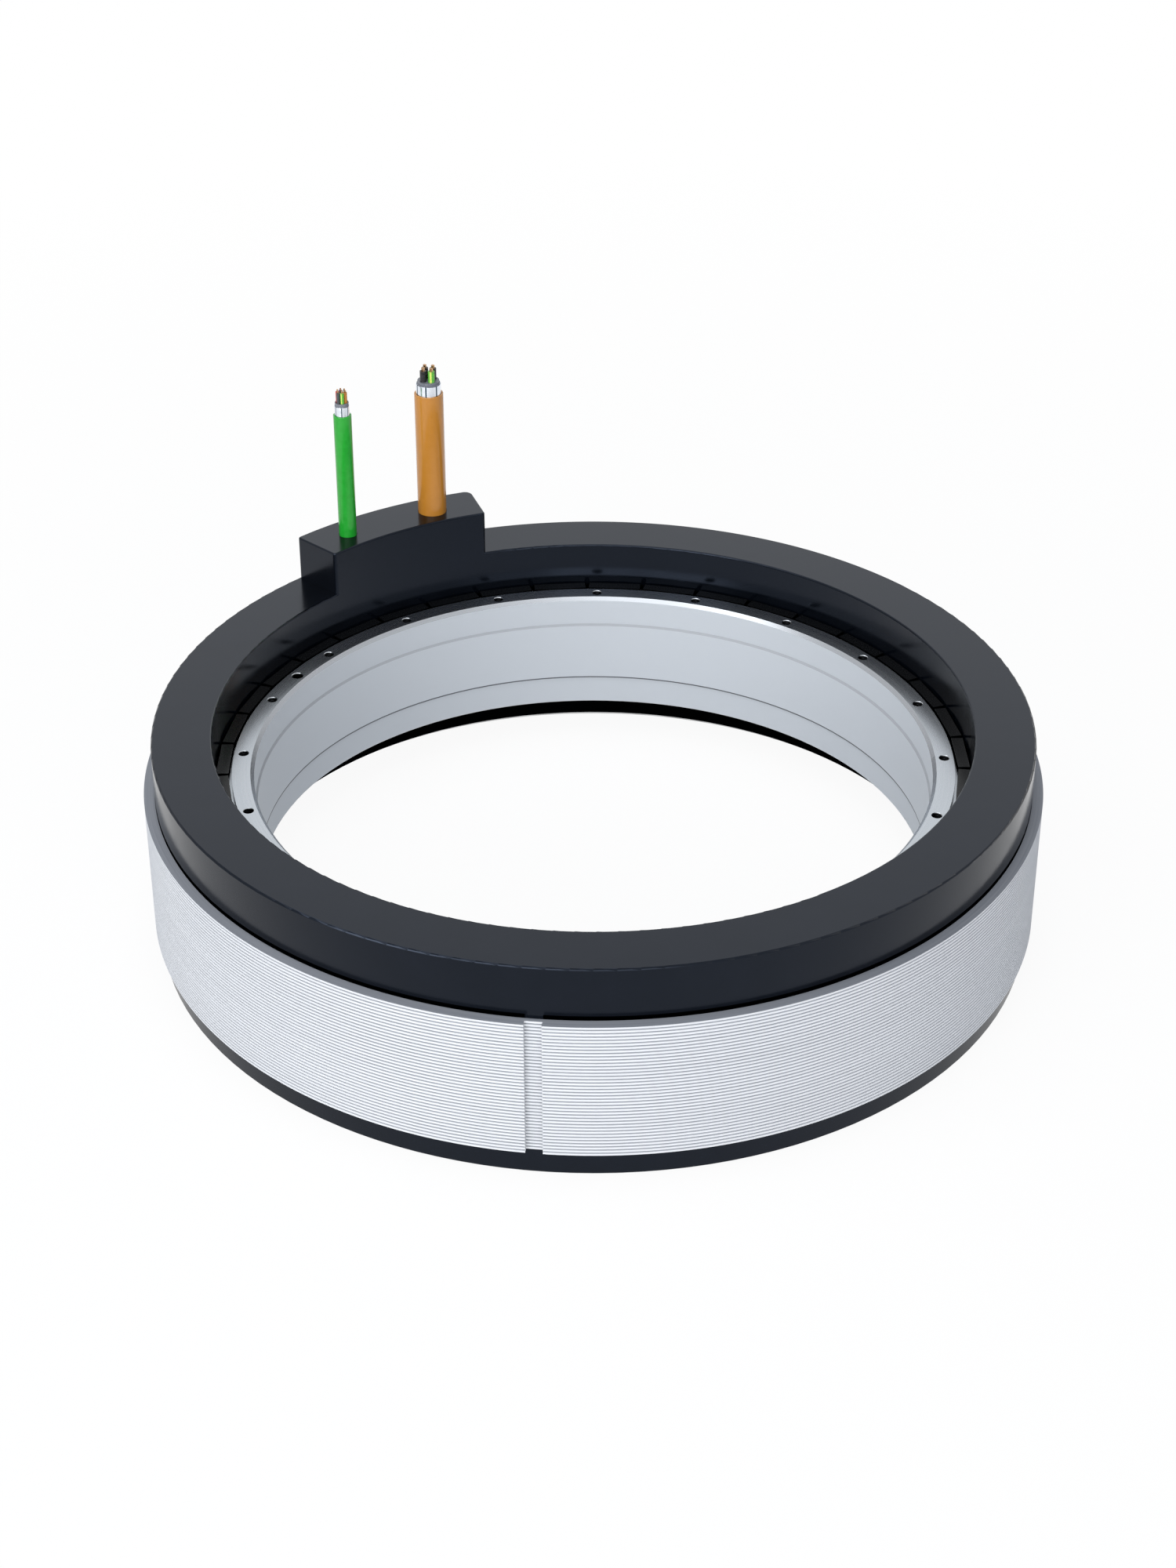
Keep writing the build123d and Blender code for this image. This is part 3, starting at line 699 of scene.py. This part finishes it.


# Magnets.
# 38 ground and coated blocks of alternating polarity, glued on the flats of the ring. Their long
# edges, the seams between them and all that lies below their end faces are painted dull black, as
# shade.
magnet_count = 38
magnet_pitch = math.radians(360.0 / magnet_count)
magnet_start_angle = math.radians(5.85)
air_gap = 0.0009
magnet_share = 0.9329
magnet_half_width = magnet_share * magnet_pitch * (bore_radius - air_gap) / 2.0
magnet_edge = 0.0004
end_face_shade_depth = 0.0003
magnet_coating = surface("magnet_coating", (0.002, 0.0022, 0.0026), (0.0042, 0.0046, 0.0052),
                         rough=(0.2, 0.3), grain=1500.0, relief=0.00001,
                         Specular_IOR_Level=0.2)


def magnet_seam_shade(material):
    """Mask of painted shade: one from each magnet's bevelled long edge to that of the next magnet.
    """
    x, y, radius = round_the_axis(material)[:3]
    around = calculate(material, "SUBTRACT", calculate(material, "ARCTAN2", y, x),
                       magnet_start_angle + magnet_pitch / 2.0)
    off_middle = calculate(material, "PINGPONG", around, magnet_pitch / 2.0)
    sideways = calculate(material, "MULTIPLY", radius,
                         calculate(material, "SINE", off_middle))
    return calculate(material, "GREATER_THAN", sideways, magnet_half_width - magnet_edge)


paint_shade(magnet_coating, bore_radius, rotor_top - end_face_shade_depth, magnet_seam_shade(magnet_coating))
for name in ("magnets_north", "magnets_south"):
    give(nodes[name], magnet_coating)
    bevel = nodes[name].modifiers.new("ground_edges", "BEVEL")
    bevel.width = magnet_edge
    bevel.segments = 2
    bevel.limit_method = "ANGLE"


# Studio floor and room.
# A pale floor that shows white to the camera, in reflections and far away, and that keeps a soft
# shadow near the motor. The room round it is white to the camera and a pale blue-grey as light.
plain_white = (1.0, 1.0, 1.0, 1.0)
floor_half = 6.0
shadow_ends = (0.3, 1.3)
floor_whiteness = (0.93, 1.0)


def seen(material):
    """One for rays that show the background: direct, in a reflection or through a clear piece."""
    sight = add_node(material, "ShaderNodeLightPath").outputs
    direct = calculate(material, "MAXIMUM", sight["Is Camera Ray"], sight["Is Glossy Ray"])
    return calculate(material, "MAXIMUM", direct, sight["Is Transmission Ray"])


floor_corners = [(-floor_half, -floor_half, 0.0), (floor_half, -floor_half, 0.0),
                 (floor_half, floor_half, 0.0), (-floor_half, floor_half, 0.0)]
floor = new_piece("floor", new_mesh("floor", floor_corners, [(0, 1, 2, 3)]))
floor_paint = bpy.data.materials.new("floor_paint")
floor_paint.use_nodes = True
floor_tree = floor_paint.node_tree
floor_shell = floor_tree.nodes["Principled BSDF"]
floor_shell.inputs["Base Color"].default_value = (0.92, 0.93, 0.94, 1.0)
floor_shell.inputs["Roughness"].default_value = 0.9
floor_shell.inputs["Specular IOR Level"].default_value = 0.0
floor_glow = add_node(floor_paint, "ShaderNodeEmission", Color=plain_white, Strength=1.0)
floor_white = add_node(floor_paint, "ShaderNodeMapRange", Value=round_the_axis(floor_paint)[2],
                       From_Min=shadow_ends[0], From_Max=shadow_ends[1],
                       To_Min=floor_whiteness[0], To_Max=floor_whiteness[1])
floor_share = calculate(floor_paint, "MULTIPLY", seen(floor_paint), floor_white.outputs[0])
floor_mix = add_node(floor_paint, "ShaderNodeMixShader", i0=floor_share,
                     i1=floor_shell.outputs[0], i2=floor_glow.outputs[0])
floor_tree.links.new(floor_mix.outputs[0], floor_tree.nodes["Material Output"].inputs["Surface"])
give(floor, floor_paint)

room = bpy.data.worlds.new("white_room")
room.use_nodes = True
scene.world = room
room_tree = room.node_tree
room_light = room_tree.nodes["Background"]
room_light.inputs["Color"].default_value = (0.86, 0.91, 1.0, 1.0)
room_light.inputs["Strength"].default_value = 0.375
room_white = add_node(room, "ShaderNodeBackground", Color=plain_white, Strength=1.0)
room_mix = add_node(room, "ShaderNodeMixShader", i0=seen(room), i1=room_light.outputs[0],
                    i2=room_white.outputs[0])
room_tree.links.new(room_mix.outputs[0], room_tree.nodes["World Output"].inputs["Surface"])


# Lamps.
# Large soft squares that all face the middle of the motor: one above, one above and to the left,
# three in front and a weak cool one behind. Each line gives place, side, power and tint.
lamp_target = Vector((0.0, 0.0, 0.08))
near_white = (0.98, 0.99, 1.0)
cool_white = (0.80, 0.90, 1.0)
for name, place, side, power, tint in (
    ("lamp_above", (-0.3, -0.2, 2.6), 2.2, 24.0, near_white),
    ("lamp_upper_left", (-1.4, -0.6, 2.0), 0.9, 6.0, near_white),
    ("lamp_front_left", (-1.55, -2.65, 0.9), 1.6, 46.0, near_white),
    ("lamp_front", (0.0, -3.0, 1.3), 1.4, 25.0, near_white),
    ("lamp_front_right", (1.3, -2.7, 1.0), 1.4, 12.5, near_white),
    ("lamp_behind", (0.0, 3.0, 1.9), 2.4, 4.5, cool_white),
):
    glow = bpy.data.lights.new(name, "AREA")
    glow.shape = "SQUARE"
    glow.size = side
    glow.energy = power
    glow.color = tint
    lamp = bpy.data.objects.new(name, glow)
    lamp.location = place
    lamp.rotation_mode = "QUATERNION"
    lamp.rotation_quaternion = (lamp_target - Vector(place)).to_track_quat("-Z", "Y")
    scene.collection.objects.link(lamp)


# Camera.
# At the photograph's height and angle, with its lens on a sensor 36 mm wide. It looks down at
# the motor by 31.48 degrees, and is turned to the left by an eighth of a degree.
looks_down = 31.48
looks_left = 0.127
camera_data = bpy.data.cameras.new("camera")
camera_data.lens = 65.56
camera_data.sensor_width = 36.0
camera = bpy.data.objects.new("camera", camera_data)
camera.location = (0.0, -1.3776, 0.9240)
camera.rotation_euler = (math.radians(90.0 - looks_down), 0.0, math.radians(looks_left))
scene.collection.objects.link(camera)
scene.camera = camera
scene.view_settings.view_transform = "Standard"
